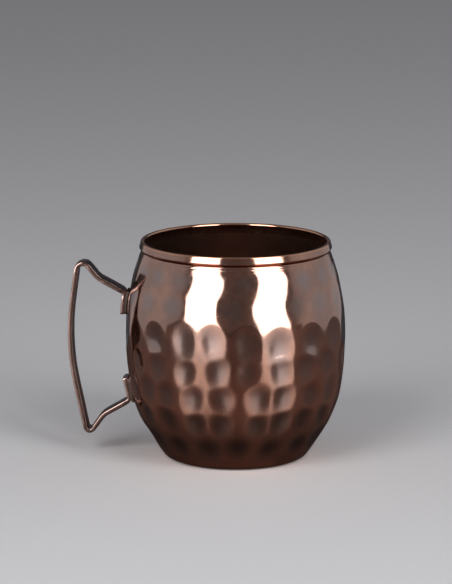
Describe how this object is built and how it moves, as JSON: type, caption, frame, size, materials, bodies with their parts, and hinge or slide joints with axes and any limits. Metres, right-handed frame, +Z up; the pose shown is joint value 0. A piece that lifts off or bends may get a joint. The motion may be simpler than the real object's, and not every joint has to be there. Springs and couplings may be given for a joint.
{
  "type": "mug",
  "caption": "Barrel-shaped hammered metal drinking mug with a rolled lip and an angular bent flat-bar handle on one side.",
  "frame": {"origin": "centre of the flat underside, on the barrel's axis", "axes": "+Z up along the barrel's axis; the handle points to -X, in the XZ plane; +Y is to the back when the handle is on the left"},
  "size_m": [0.1215, 0.096, 0.0952],
  "materials": {
    "body_copper": "hammered and polished copper with a dark antique tone",
    "handle_copper": "satin copper with a dark antique tone",
    "filler_metal": "dull copper-coloured braze"
  },
  "bodies": {
    "root": {"body_shell": "body_copper", "handle": "handle_copper", "upper_braze_joint": "filler_metal", "lower_braze_joint": "filler_metal"}
  },
  "joints": []
}
